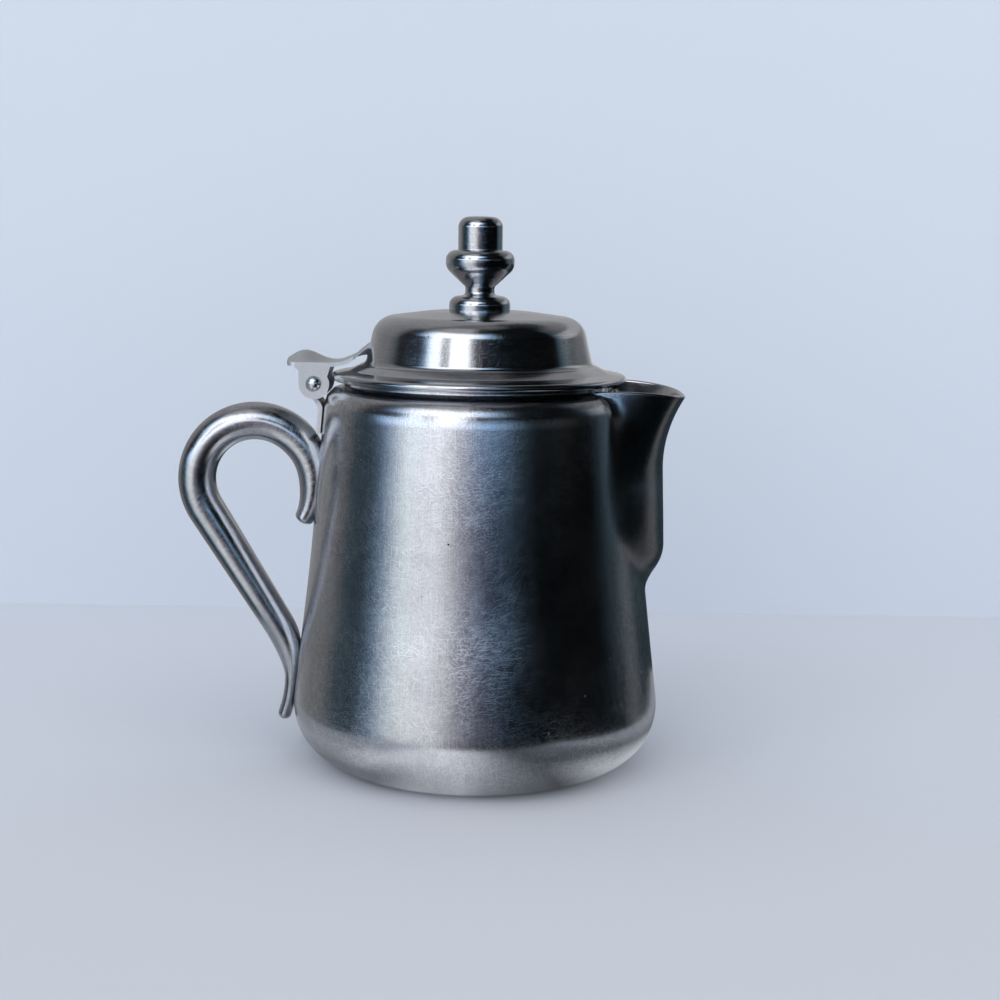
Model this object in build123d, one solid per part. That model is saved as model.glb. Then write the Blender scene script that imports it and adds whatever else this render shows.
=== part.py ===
from build123d import *
import math
import os

# A small lidded cream pot of stainless sheet, in millimetres, +Z up.
# The origin is the middle of the flat underside, on the axis of the body.
# The spout points towards +X, the handle and the hinge towards -X.

# Body: corners of its outline before rounding, as distance from the axis and height
body_sheet = 0.9
base_corner_radius = 42.3
base_rounding = 13.0
waist_height = 45.0
waist_hollow = 0.63
waist_rounding = 500.0
shoulder_radius = 33.5
shoulder_height = 83.0
shoulder_rounding = 4.2
shoulder_width = 4.1
shoulder_rise = 0.6
neck_rounding = 0.8
neck_length = 2.1

# Lid: a brim that rests over the neck, and a dome inside it
lid_sheet = 0.8
lid_gap = 0.3
brim_slope = 10.0
brim_overhang = 2.8
brim_inset = 5.2
rolled_edge_radius = 0.8
dome_height = 10.0
dome_lean = 13.0
dome_foot_rounding = 2.4
dome_rounding = 4.4
crown_slope = 7.5
crown_flat_radius = 9.0
crown_rounding = 60.0

# Ring under the lid that keeps it centred in the mouth
flange_sheet = 0.7
flange_clearance = 0.5
flange_depth = 5.4
flange_seam = 1.9
flange_rounding = 1.0

# Spout: heights are measured down from the shoulder, reaches outwards from the wall
spout_sheet = 0.8
spout_inner_edge = 22.0
spout_foot_drop = 44.4
spout_foot_reach = -1.3
spout_knee_drop = 36.5
spout_knee_reach = 4.75
spout_knee_rounding = 9.0
spout_throat_drop = 8.0
spout_throat_reach = 6.3
spout_throat_rounding = 28.0
spout_flare = 31.6
spout_half_width = 19.2
spout_widest_drop = 17.0
spout_narrowest_drop = 47.0
spout_lip_narrowing = 1.8
spout_lip_bluntness = 1.6
spout_sections = 11
spout_sections_crowding = 1.3
spout_points = 13
spout_overrun = 1.0
lip_height = 0.65
lip_bow = 0.4
lip_fall = 1.75
lip_length = 14.5
lip_root_radius = 30.5
sill_ledge = 1.4
sill_drop = 31.0

# Hinge: a knuckle rolled from a strap on the body, between two ears on the lid's leaf
hinge_sheet = 0.9
pin_radius = 1.25
pin_fit = 0.05
rivet_fit = 0.02
rivet_end_height = 0.4
rivet_recess_radius = 1.8
rivet_recess_depth = 0.45
knuckle_width = 9.6
ear_side_gap = 0.25
ear_radius = 3.3
ear_to_rim = 0.1
ear_waist_height = 1.5
ear_waist_radius = 2.8
ear_front_flare = 0.2
ear_wing_length = 4.4
ear_wing_drop = 1.7
hinge_above_shoulder = 1.0
knuckle_opening = 223.0
strap_bend_drop = 4.0
strap_bend_rounding = 1.6
strap_foot_gap = 0.6

# Leaf of the hinge: a crowned thumb tab, a saddle and a strap that climbs to the dome
leaf_height = 4.7
tab_length = 6.0
tab_tip_drop = 0.4
tab_tip_crown = 1.2
tab_rounding = 2.0
tab_shoulder_length = 4.0
tab_shoulder_crown = 2.0
crest_length = 1.8
crest_crown = 2.3
saddle_start = 1.0
saddle_start_crown = 1.2
saddle_end = 3.3
saddle_end_crown = 0.4
strap_climb = 17.0
strap_crown = 0.15
strap_reach = 14.0
strap_taper_start = 8.5
strap_end_half_width = 4.4
ear_tuck = 0.1

# Handle: a round bar bent to a C, with a rolled-out top end and a flattened tail
grip_top_drop = 3.55
grip_standoff = 0.8
grip_radius = 13.0
grip_half_thickness = 4.15
grip_half_width = 4.4
root_turn = 45.0
root_half_thickness = 3.5
root_half_width = 4.2
top_end_length = 8.4
top_end_curl = 29.0
top_end_half_thickness = 2.1
top_end_half_width = 3.8
stem_half_thickness = 3.45
stem_half_width = 3.9
foot_height = 18.7
foot_standoff = 1.2
foot_bend_radius = 21.5
foot_half_thickness = 1.6
foot_half_width = 3.5
tail_bend_radius = 28.0
tail_curl = 20.0
tail_half_thickness = 1.5
tail_half_width = 3.0
end_rounding = 1.3
end_shares = (0.0, 0.4, 0.7, 0.9, 0.98)

# Finial: corners of its turned outline, heights measured up from its seat
finial_collar_radius = 6.7
finial_collar_height = 3.5
finial_neck_radius = 3.2
finial_neck_low = 4.1
finial_neck_high = 5.8
finial_bulb_radius = 7.5
finial_bulb_low = 9.8
finial_bulb_high = 13.7
finial_barrel_radius = 4.85
finial_height = 20.95
finial_crown = 0.25
finial_crown_radius = 1.4
finial_collar_edge = 0.3
finial_collar_rounding = 2.0
finial_neck_roundings = (0.7, 0.8)
finial_bulb_rounding = 3.0
finial_shoulder_rounding = 2.2
finial_groove_rounding = 0.12
finial_top_rounding = 2.3
finial_crown_rounding = 6.0

# Screw that holds the finial from inside the lid
screw_radius = 1.5
screw_fit = 0.02
screw_depth = 8.0
screw_head_radius = 2.8
screw_head_height = 1.9
screw_head_edge = 0.6
screw_tip_edge = 0.4
screw_slot_width = 0.8
screw_slot_depth = 0.9
washer_radius = 4.2
washer_thickness = 0.6


def rise(degrees, run):
    """Height gained over a run by a line at an angle to the level."""
    return run * math.tan(math.radians(degrees))


def between(start, end, share):
    """Value part of the way from start to end."""
    return start + (end - start) * share


def radius_at(outline, height):
    """Distance from the axis where an outline that climbs steadily passes a height."""
    low = 0.0
    high = 1.0
    for _ in range(40):
        middle = (low + high) / 2
        if (outline @ middle).Y < height:
            low = middle
        else:
            high = middle
    return (outline @ high).X


def turned(outline):
    """Solid of revolution from an outline, closed along the axis."""
    start = outline @ 0
    end = outline @ 1
    foot = Vector(0, start.Y)
    head = Vector(0, end.Y)
    edges = list(outline.edges())
    for near, far in ((foot, start), (end, head), (head, foot)):
        if (near - far).length > 1e-6:
            edges.append(Line(near, far))
    return revolve(Plane.XZ * make_face(edges), Axis.Z)


def turned_sheet(outline, thickness):
    """Sheet of even thickness under an outline that runs outwards, turned about the axis."""
    strip = offset(outline, amount=thickness, side=Side.RIGHT)
    return revolve(Plane.XZ * make_face(strip.edges()), Axis.Z)


def parallel_line(corners, roundings, distance):
    """Rounded line that runs a distance to the left of another one, with arcs about the same points."""
    runs = [(Vector(end) - Vector(start)).normalized() for start, end in zip(corners, corners[1:])]
    lefts = [Vector(-run.Y, run.X) for run in runs]
    moved = [Vector(corners[0]) + lefts[0] * distance]
    for corner, before, after in zip(corners[1:], lefts, lefts[1:]):
        moved.append(Vector(corner) + (before + after) * (distance / (1 + before.dot(after))))
    moved.append(Vector(corners[-1]) + lefts[-1] * distance)
    radii = []
    for rounding, before, after in zip(roundings, runs, runs[1:]):
        turns_left = before.cross(after).Z > 0
        radii.append(rounding - distance if turns_left else rounding + distance)
    return FilletPolyline(*moved, radius=radii)


# Body outline, from the middle of the base up to the mouth
waist_share = waist_height / shoulder_height
waist_radius = between(base_corner_radius, shoulder_radius, waist_share) - waist_hollow
neck_radius = shoulder_radius - shoulder_width
neck_foot_height = shoulder_height + shoulder_rise
mouth_height = neck_foot_height + neck_length
body_corners = (
    (0, 0),
    (base_corner_radius, 0),
    (waist_radius, waist_height),
    (shoulder_radius, shoulder_height),
    (neck_radius, neck_foot_height),
    (neck_radius, mouth_height),
)
body_roundings = (base_rounding, waist_rounding, shoulder_rounding, neck_rounding)
body_outline = FilletPolyline(*body_corners, radius=body_roundings)
body_envelope = turned(body_outline)

# Lid outline, from the top of its crown out to the brim's edge
brim_edge_radius = neck_radius + brim_overhang
dome_foot_radius = neck_radius - brim_inset
brim_underside_height = mouth_height + lid_gap
sheet_height = lid_sheet / math.cos(math.radians(brim_slope))
dome_foot_height = brim_underside_height + sheet_height + rise(brim_slope, brim_inset)
dome_edge_height = dome_foot_height + dome_height
dome_edge_radius = dome_foot_radius - dome_height * math.tan(math.radians(dome_lean))
crown_height = dome_edge_height + rise(crown_slope, dome_edge_radius - crown_flat_radius)
rolled_centre_radius = brim_edge_radius - rolled_edge_radius
brim_end_height = dome_foot_height - rise(brim_slope, rolled_centre_radius - dome_foot_radius)
lid_outline = FilletPolyline(
    (0, crown_height),
    (crown_flat_radius, crown_height),
    (dome_edge_radius, dome_edge_height),
    (dome_foot_radius, dome_foot_height),
    (rolled_centre_radius, brim_end_height),
    radius=(crown_rounding, dome_rounding, dome_foot_rounding),
)

# Ridge of the spout, from its foot inside the wall up past the lip
spout_top_height = mouth_height + spout_overrun
throat_height = shoulder_height - spout_throat_drop
throat_radius = radius_at(body_outline, throat_height) + spout_throat_reach
knee_height = shoulder_height - spout_knee_drop
foot_of_spout_height = shoulder_height - spout_foot_drop
spout_ridge = FilletPolyline(
    (radius_at(body_outline, foot_of_spout_height) + spout_foot_reach, foot_of_spout_height),
    (radius_at(body_outline, knee_height) + spout_knee_reach, knee_height),
    (throat_radius, throat_height),
    (throat_radius + rise(spout_flare, spout_top_height - throat_height), spout_top_height),
    radius=(spout_knee_rounding, spout_throat_rounding),
)

# Level of the handle's grip, and where its outer side meets the wall
grip_outer_radius = grip_radius + grip_half_thickness
grip_height = shoulder_height - grip_top_drop - grip_outer_radius
grip_joint_rise = math.sqrt(grip_outer_radius**2 - (grip_radius + grip_standoff) ** 2)

# Hinge axis, just outside the lid's rim
pin_x = -(brim_edge_radius + ear_to_rim + ear_radius)
pin_z = shoulder_height + hinge_above_shoulder
ear_inner_face = knuckle_width / 2 + ear_side_gap
leaf_half_width = ear_inner_face + hinge_sheet


def spout_section(height, inset):
    """Level section of the spout: a blunt lobe at the lip, rounder lower down."""
    widest = shoulder_height - spout_widest_drop
    narrowest = shoulder_height - spout_narrowest_drop
    if height < widest:
        drop = (widest - height) / (widest - narrowest)
        half_width = spout_half_width * math.sqrt(1 - drop**2)
        power = 2.0
    else:
        share = (height - widest) / (spout_top_height - widest)
        half_width = spout_half_width - spout_lip_narrowing * share
        power = 2.0 + spout_lip_bluntness * share
    length = radius_at(spout_ridge, height) - inset - spout_inner_edge
    points = []
    for step in range(spout_points):
        turn = math.pi * (step / (spout_points - 1) - 0.5)
        along = max(math.cos(turn), 0.0) ** (2 / power)
        across = math.copysign(abs(math.sin(turn)) ** (2 / power), turn)
        x = spout_inner_edge + length * along
        y = (half_width - inset) * across
        points.append((x, y, height))
    nose = Spline(*points)
    return make_face([nose, Line(nose @ 1, nose @ 0)])


def spout_lobe(inset):
    """Solid lobe of the spout, smaller by the inset all round."""
    sections = []
    for step in range(spout_sections):
        share = (step / (spout_sections - 1)) ** spout_sections_crowding
        height = between(foot_of_spout_height, spout_top_height, share)
        sections.append(spout_section(height, inset))
    return loft(sections)


def above_lip():
    """Everything above the spout's lip, which bows down towards its tip."""
    root = (0, neck_foot_height + lip_height)
    start = (lip_root_radius, neck_foot_height + lip_height)
    end = (lip_root_radius + lip_length, start[1] - lip_fall)
    middle = (between(start[0], end[0], 0.5), between(start[1], end[1], 0.5) + lip_bow)
    far = (end[0] + lip_length, end[1] - 2 * lip_fall)
    top = start[1] + lip_length
    line = [
        Line(root, start),
        ThreePointArc(start, middle, end),
        Polyline(end, far, (far[0], top), (0, top), root),
    ]
    return extrude(Plane.XZ * make_face(line), 2 * spout_half_width, both=True)


def make_body():
    """Drawn shell with the wall and neck cut away behind the spout."""
    inside = parallel_line(body_corners, body_roundings, body_sheet)
    ends = [Line(body_outline @ 0, inside @ 0), Line(body_outline @ 1, inside @ 1)]
    cut_face = make_face([*body_outline.edges(), *inside.edges(), *ends])
    shell = revolve(Plane.XZ * cut_face, Axis.Z)
    size = 4 * base_corner_radius
    above_sill = Pos(0, 0, shoulder_height - sill_drop + size / 2) * Box(size, size, size)
    notch = spout_lobe(spout_sheet + sill_ledge) & above_sill
    return shell - notch


def make_spout():
    """Stamped channel that closes onto the outside of the body."""
    channel = spout_lobe(0) - spout_lobe(spout_sheet)
    return channel - body_envelope - above_lip()


def make_lid():
    """Spun dome and brim with a rolled edge, and a hole for the finial's screw."""
    sheet = turned_sheet(lid_outline, lid_sheet)
    rolled_height = brim_end_height - rolled_edge_radius
    rolled = Plane.XZ * Pos(rolled_centre_radius, rolled_height) * Circle(rolled_edge_radius)
    hole = Pos(0, 0, crown_height) * Cylinder(screw_radius + screw_fit, 4 * lid_sheet)
    return sheet + revolve(rolled, Axis.Z) - hole


def make_lid_flange():
    """Ring welded under the brim, with a skirt that drops into the mouth."""
    skirt_radius = neck_radius - body_sheet - flange_clearance
    seam_radius = skirt_radius - flange_seam

    def underside(radius):
        return brim_underside_height + rise(brim_slope, neck_radius - radius)

    outline = FilletPolyline(
        (seam_radius, underside(seam_radius)),
        (skirt_radius, underside(skirt_radius)),
        (skirt_radius, mouth_height - flange_depth),
        radius=(flange_rounding,),
    )
    return turned_sheet(outline, flange_sheet)


def make_hinge_strap():
    """Strap on the back of the body, rolled into a knuckle round the pin."""
    bore = pin_radius + pin_fit
    middle_radius = bore + hinge_sheet / 2
    bend_height = shoulder_height - strap_bend_drop
    strap_foot_height = grip_height + grip_joint_rise + strap_foot_gap
    turn = math.radians(knuckle_opening)
    leaves = (pin_x + middle_radius * math.cos(turn), pin_z + middle_radius * math.sin(turn))
    bend = (-radius_at(body_outline, bend_height) - hinge_sheet / 2, bend_height)
    foot_radius = radius_at(body_outline, strap_foot_height) + hinge_sheet / 2
    leg_line = FilletPolyline(
        leaves,
        bend,
        (-foot_radius, strap_foot_height),
        radius=(strap_bend_rounding,),
    )
    leg = Plane.XZ * trace(leg_line, hinge_sheet)
    roll = Plane.XZ * Pos(pin_x, pin_z) * Circle(bore + hinge_sheet)
    strap = extrude(leg + roll, knuckle_width / 2, both=True)
    hole = Pos(pin_x, 0, pin_z) * Rot(90, 0, 0) * Cylinder(bore, 2 * knuckle_width)
    return strap - hole - body_envelope


def make_hinge_pin():
    """Riveted pin whose domed ends stand a little proud of the ears."""
    half = leaf_half_width
    length = half + rivet_end_height
    dome_radius = (pin_radius**2 + rivet_end_height**2) / (2 * rivet_end_height)
    shank = Cylinder(pin_radius, 2 * half)
    ends = Cylinder(pin_radius, 2 * length) - shank
    high_dome = Pos(0, 0, length - dome_radius) * Sphere(dome_radius)
    low_dome = Pos(0, 0, dome_radius - length) * Sphere(dome_radius)
    pin = shank + (ends & (high_dome + low_dome))
    return Pos(pin_x, 0, pin_z) * Rot(90, 0, 0) * pin


def leaf_section(x, edge_height, crown):
    """Cross-section of the leaf: an arch of even sheet from edge to edge."""
    half = leaf_half_width
    top = ThreePointArc((-half, edge_height), (0, edge_height + crown), (half, edge_height))
    low = edge_height - hinge_sheet
    under = ThreePointArc((-half, low), (0, low + crown), (half, low))
    sides = [Line(top @ 0, under @ 0), Line(top @ 1, under @ 1)]
    return Plane.YZ.offset(pin_x + x) * make_face([top, under, *sides])


def make_ear():
    """Side plate of the leaf: round about the pin, waisted above it, with a wing to the tab."""
    top = leaf_height - ear_tuck
    hole_radius = pin_radius + rivet_fit
    upper = Polygon(
        (-ear_radius, 0),
        (ear_waist_radius, 0),
        (ear_waist_radius, ear_waist_height),
        (ear_radius + ear_front_flare, top - hinge_sheet),
        (ear_radius + ear_front_flare, top),
        (-ear_radius, top),
        (-ear_wing_length, top - hinge_sheet),
        (-ear_radius, top - ear_wing_drop),
        align=None,
    )
    place = Pos(pin_x, pin_z)
    face = Circle(ear_radius) + upper - Circle(hole_radius)
    ear = extrude(Plane.XZ.offset(ear_inner_face) * place * face, hinge_sheet)
    recess = Cone(hole_radius, rivet_recess_radius, rivet_recess_depth)
    recess_plane = Plane.XZ.offset(leaf_half_width - rivet_recess_depth / 2)
    return ear - recess_plane * place * recess


def make_hinge_leaf():
    """Folded sheet on the lid: thumb tab, two ears and the strap to the dome."""
    edge = pin_z + leaf_height
    climb = rise(strap_climb, strap_reach - saddle_end)
    stations = (
        (-tab_length, edge - tab_tip_drop, tab_tip_crown),
        (-tab_shoulder_length, edge, tab_shoulder_crown),
        (-crest_length, edge, crest_crown),
        (saddle_start, edge, saddle_start_crown),
        (saddle_end, edge, saddle_end_crown),
        (between(saddle_end, strap_reach, 0.5), edge + climb / 2, strap_crown),
        (strap_reach, edge + climb, strap_crown),
    )
    plate = loft([leaf_section(*station) for station in stations])
    plan = Polygon(
        (-tab_length, -leaf_half_width),
        (strap_taper_start, -leaf_half_width),
        (strap_reach, -strap_end_half_width),
        (strap_reach, strap_end_half_width),
        (strap_taper_start, leaf_half_width),
        (-tab_length, leaf_half_width),
        align=None,
    )
    tip_corners = plan.vertices().sort_by(Axis.X)[:2]
    plan = Pos(pin_x, 0) * fillet(tip_corners, tab_rounding)
    plate = plate & extrude(plan, 2 * pin_z)
    ear = make_ear()
    return plate + ear + mirror(ear, about=Plane.XZ) - turned(lid_outline)


def handle_path():
    """Middle line of the handle, in side view, from its top end to its tail."""
    grip_start_x = -radius_at(body_outline, grip_height) - grip_standoff
    foot_x = -radius_at(body_outline, foot_height) - foot_standoff
    curl = math.radians(top_end_curl)
    bend = top_end_length / math.sin(curl)
    tip = (grip_start_x - bend * (1 - math.cos(curl)), grip_height - top_end_length)
    top_end = JernArc(tip, (math.sin(curl), math.cos(curl)), bend, top_end_curl)
    # The straight stem touches the grip's circle on one side and the foot's on the other.
    across = (foot_x - foot_bend_radius) - (grip_start_x - grip_radius)
    down = foot_height - grip_height
    both_radii = grip_radius + foot_bend_radius
    stem_length = math.sqrt(across**2 + down**2 - both_radii**2)
    heading = math.atan2(down, across) + math.atan2(both_radii, stem_length)
    grip_turn = 270 + math.degrees(heading)
    root = JernArc(top_end @ 1, top_end % 1, grip_radius, root_turn)
    grip = JernArc(root @ 1, root % 1, grip_radius, grip_turn - root_turn)
    direction = Vector(math.cos(heading), math.sin(heading))
    stem = Line(grip @ 1, grip @ 1 + direction * stem_length)
    foot = JernArc(stem @ 1, direction, foot_bend_radius, -90 - math.degrees(heading))
    tail = JernArc(foot @ 1, foot % 1, tail_bend_radius, -tail_curl)
    return top_end, root, grip, stem, foot, tail


def rounded_end(line, share, direction, size):
    """Cap that rounds off one end of the bar, from its last oval section outwards."""
    sections = []
    for part in end_shares:
        scale = math.sqrt(1 - part**2)
        section = bar_section(line, share, size, size, 1, scale)
        along = line % share
        reach = direction * end_rounding * part
        sections.append(Pos(along.X * reach, 0, along.Y * reach) * section)
    return loft(sections)


def make_handle():
    """Oval sections strung along the middle line, with rounded ends, trimmed to the wall."""
    top_end, root, grip, stem, foot, tail = handle_path()
    tip_size = (top_end_half_thickness, top_end_half_width)
    root_size = (root_half_thickness, root_half_width)
    grip_size = (grip_half_thickness, grip_half_width)
    stem_size = (stem_half_thickness, stem_half_width)
    foot_size = (foot_half_thickness, foot_half_width)
    tail_size = (tail_half_thickness, tail_half_width)
    stretches = (
        (top_end, tip_size, root_size, 3, 1),
        (root, root_size, grip_size, 2, 1),
        (grip, grip_size, grip_size, 6, 1),
        (stem, grip_size, stem_size, 3, 1),
        (foot, stem_size, foot_size, 4, 2),
        (tail, foot_size, tail_size, 3, 1),
    )
    sections = []
    for line, start_size, end_size, count, ease in stretches:
        for step in range(count):
            share = step / count
            sections.append(bar_section(line, share, start_size, end_size, ease))
    sections.append(bar_section(tail, 1, foot_size, tail_size, 1))
    ends = rounded_end(top_end, 0, -1, tip_size) + rounded_end(tail, 1, 1, tail_size)
    return loft(sections) + ends - body_envelope


def bar_section(line, share, start_size, end_size, ease, scale=1.0):
    """Oval section of the bar, square to its middle line."""
    thickness = scale * between(start_size[0], end_size[0], share**ease)
    width = scale * between(start_size[1], end_size[1], share**ease)
    place = line @ share
    along = line % share
    plane = Plane(
        origin=(place.X, 0, place.Y),
        x_dir=(-along.Y, 0, along.X),
        z_dir=(along.X, 0, along.Y),
    )
    return plane * Ellipse(thickness, width)


def make_finial():
    """Turned knob: collar, thin neck, bulb and a round-ended barrel."""
    outline = FilletPolyline(
        (0, 0),
        (finial_collar_radius, 0),
        (finial_collar_radius, finial_collar_height),
        (finial_neck_radius, finial_neck_low),
        (finial_neck_radius, finial_neck_high),
        (finial_bulb_radius, finial_bulb_low),
        (finial_bulb_radius, finial_bulb_high),
        (finial_barrel_radius, finial_bulb_high),
        (finial_barrel_radius, finial_height - finial_crown),
        (finial_crown_radius, finial_height),
        (0, finial_height),
        radius=(
            finial_collar_edge,
            finial_collar_rounding,
            *finial_neck_roundings,
            finial_bulb_rounding,
            finial_shoulder_rounding,
            finial_groove_rounding,
            finial_top_rounding,
            finial_crown_rounding,
        ),
    )
    bore = Cylinder(screw_radius + screw_fit, 2 * screw_depth)
    return Pos(0, 0, crown_height) * (turned(outline) - bore)


def make_finial_screw():
    """Slotted screw that comes up through the lid into the finial."""
    seat = crown_height - lid_sheet - washer_thickness
    length = crown_height + screw_depth - screw_fit - seat
    outline = Polyline(
        (0, -screw_head_height),
        (screw_head_radius - screw_head_edge, -screw_head_height),
        (screw_head_radius, screw_head_edge - screw_head_height),
        (screw_head_radius, 0),
        (screw_radius, 0),
        (screw_radius, length - screw_tip_edge),
        (screw_radius - screw_tip_edge, length),
        (0, length),
    )
    slot = Pos(0, 0, -screw_head_height) * Box(
        3 * screw_head_radius, screw_slot_width, 2 * screw_slot_depth
    )
    return Pos(0, 0, seat) * (turned(outline) - slot)


def make_finial_washer():
    """Flat washer between the screw's head and the inside of the lid."""
    disc = Cylinder(washer_radius, washer_thickness) - Cylinder(
        screw_radius + screw_fit, 2 * washer_thickness
    )
    return Pos(0, 0, crown_height - lid_sheet - washer_thickness / 2) * disc


parts = {
    "body": make_body(),
    "spout": make_spout(),
    "handle": make_handle(),
    "hinge_strap": make_hinge_strap(),
    "hinge_pin": make_hinge_pin(),
    "hinge_leaf": make_hinge_leaf(),
    "lid": make_lid(),
    "lid_flange": make_lid_flange(),
    "finial": make_finial(),
    "finial_screw": make_finial_screw(),
    "finial_washer": make_finial_washer(),
}
os.makedirs("parts", exist_ok=True)
for name, part in parts.items():
    export_step(part, f"parts/{name}.step")
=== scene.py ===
import bpy
import bmesh
import math
import numpy as np
from mathutils import Matrix, Vector, noise


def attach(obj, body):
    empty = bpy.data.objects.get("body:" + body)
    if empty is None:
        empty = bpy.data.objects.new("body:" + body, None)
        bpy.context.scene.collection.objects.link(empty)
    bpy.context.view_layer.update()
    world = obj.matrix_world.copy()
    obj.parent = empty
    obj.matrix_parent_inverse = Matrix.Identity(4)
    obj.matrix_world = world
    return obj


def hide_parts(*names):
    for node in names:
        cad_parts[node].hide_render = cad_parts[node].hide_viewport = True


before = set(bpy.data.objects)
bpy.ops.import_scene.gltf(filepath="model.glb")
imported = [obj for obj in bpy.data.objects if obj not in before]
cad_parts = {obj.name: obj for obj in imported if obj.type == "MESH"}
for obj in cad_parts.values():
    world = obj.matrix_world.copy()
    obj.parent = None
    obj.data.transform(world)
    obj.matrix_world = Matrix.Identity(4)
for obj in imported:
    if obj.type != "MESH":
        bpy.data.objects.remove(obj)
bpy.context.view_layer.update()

# The pot's own sizes are in millimetres, and this turns them into the scene's metres
mm = 0.001

# Pot body: corners of its outline as distance from the axis and height, with the rounding of each
body_corners = ((0, 0), (42.3, 0), (36.9, 45.0), (33.5, 83.0), (29.4, 83.6), (29.4, 85.7))
body_roundings = (13.0, 500.0, 4.2, 0.8)
body_sheet = 0.9
neck_foot_height = body_corners[-2][1]
neck_radius, mouth_height = body_corners[-1]

# Skin of the pot: how far it lies inside the outline; the height up to which it only follows the
# body's outline, and that up to which its rows are level; and its rows up wall, shoulder and collar
skin_clearance = 0.012
bottom_corner_top = 20.0
wall_top_height = 79.0
wall_rows = 95
shoulder_rows = 16
collar_rows = 9

# Spout: ridge line of its nose, and the width and bluntness of its level sections
spout_ridge_corners = ((36.05, 38.6), (41.62, 46.5), (40.5, 75.0), (47.7, 86.7))
spout_ridge_roundings = (9.0, 28.0)
spout_foot_height = spout_ridge_corners[0][1]
spout_top_height = spout_ridge_corners[-1][1]
spout_inner_edge = 22.0
spout_half_width = 19.2
spout_widest_height = 66.0
spout_narrowest_height = 36.0
spout_lip_narrowing = 1.8
spout_bluntness = 1.6

# Lip: its two ends as distance from the axis and height, and how far it bows up between them
lip_root = (30.5, 84.25)
lip_tip = (45.0, 82.5)
lip_bow = 0.4

# Seam of body and spout: heights along it, and the width of the soft change between them there
seam_heights = (40.0, 55.0, 78.0, 83.0)
seam_widths = (2.0, 6.0, 4.0, 0.8)

# Weld beads: place of the one on the spout's far side, which the near one mirrors, and half sizes
bead_place = (28.8, 15.2, 82.6)
bead_half_sizes = (1.4, 1.2, 2.0)

# Lid: outline of its top from the brim in to the middle, and the rolled edge
lid_corners = ((31.54, 86.45), (24.2, 87.73), (21.89, 97.73), (9.0, 99.426), (0, 99.426))
lid_roundings = (2.4, 4.4, 60.0)
lid_roll_centre = (31.4, 85.66)
lid_roll_radius = 0.8
lid_roll_start = math.radians(172)
lid_roll_end = math.radians(440)
lid_sheet = 0.8
lid_hole_radius = 1.52

# Finial: outline from the end of its screw hole round to the top, with heights above the lid
finial_corners = (
    (0, 8.0), (1.52, 8.0), (1.52, 0), (6.7, 0), (6.7, 3.5), (3.2, 4.1), (3.2, 5.8), (7.5, 9.8),
    (7.5, 13.7), (4.85, 13.7), (4.85, 20.7), (1.4, 20.95), (0, 20.95),
)
finial_roundings = (0.03, 0.03, 0.3, 2.0, 0.7, 0.8, 3.0, 2.2, 0.12, 2.3, 6.0)

# Handle: its line in side view, and half thickness and half width along it
grip_height = 62.3
grip_standoff = 0.8
grip_radius = 13.0
root_turn = math.radians(45)
top_end_length = 8.4
top_end_curl = math.radians(29)
foot_height = 18.7
foot_standoff = 1.2
foot_bend = 21.5
tail_bend = 28.0
tail_curl = math.radians(20)
end_rounding = 1.3
tip_size = (2.1, 3.8)
root_size = (3.5, 4.2)
grip_size = (4.15, 4.4)
stem_size = (3.45, 3.9)
foot_size = (1.6, 3.5)
tail_size = (1.5, 3.0)

# Studio light: colour of each tint, which the strength multiplies
light_tints = {
    "plain": (1.0, 1.0, 1.02),
    "sky": (0.5, 0.8, 1.2),
    "pale_sky": (0.86, 0.98, 1.12),
    "leaf": (0.95, 1.02, 0.98),
    "mauve": (1.02, 0.9, 1.12),
    "teal": (0.6, 0.95, 1.15),
}

# Bands of light once round the pot, one above the other from the floor up. Each stop has its
# direction in degrees, where 0 is towards the camera and negative is left; strength; and tint
floor_band = (
    (-180, 0.36, "plain"), (-112, 0.2, "plain"), (-98, 0.09, "teal"), (-80, 0.06, "teal"),
    (-68, 0.26, "sky"), (-60, 0.6, "pale_sky"), (-49, 1.0, "leaf"), (-28, 1.0, "plain"),
    (-18, 0.55, "plain"), (-9, 0.18, "mauve"), (4, 0.05, "mauve"), (20, 0.006, "teal"),
    (60, 0.002, "teal"), (108, 0.008, "teal"), (116, 0.14, "plain"), (125, 0.14, "plain"),
    (133, 0.04, "teal"), (164, 0.05, "teal"), (180, 0.36, "plain"),
)
low_band = (
    (-180, 0.42, "plain"), (-128, 0.34, "plain"), (-112, 0.22, "plain"), (-105, 0.15, "plain"),
    (-98, 0.09, "teal"), (-84, 0.05, "teal"), (-76, 0.06, "teal"), (-68, 0.3, "sky"),
    (-60, 0.75, "pale_sky"), (-49, 1.45, "leaf"), (-40, 1.3, "plain"), (-28, 1.3, "plain"),
    (-18, 0.8, "plain"), (-9, 0.24, "mauve"), (4, 0.07, "mauve"), (12, 0.015, "mauve"),
    (20, 0.005, "teal"), (38, 0.001, "teal"), (92, 0.003, "plain"), (102, 0.1, "teal"),
    (118, 0.2, "teal"), (134, 0.14, "teal"), (152, 0.34, "plain"), (168, 0.6, "plain"),
    (180, 0.42, "plain"),
)
middle_band = (
    (-180, 0.42, "plain"), (-112, 0.24, "plain"), (-98, 0.1, "teal"), (-84, 0.08, "sky"),
    (-78, 0.5, "sky"), (-72, 1.4, "sky"), (-58, 2.1, "pale_sky"), (-46, 2.4, "pale_sky"),
    (-20, 2.3, "plain"), (-8, 2.0, "pale_sky"), (4, 1.6, "sky"), (20, 0.95, "sky"),
    (29, 0.25, "teal"), (40, 0.05, "teal"), (66, 0.06, "plain"), (80, 0.01, "plain"),
    (94, 0.02, "plain"), (104, 0.1, "teal"), (126, 0.2, "plain"), (180, 0.42, "plain"),
)
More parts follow.
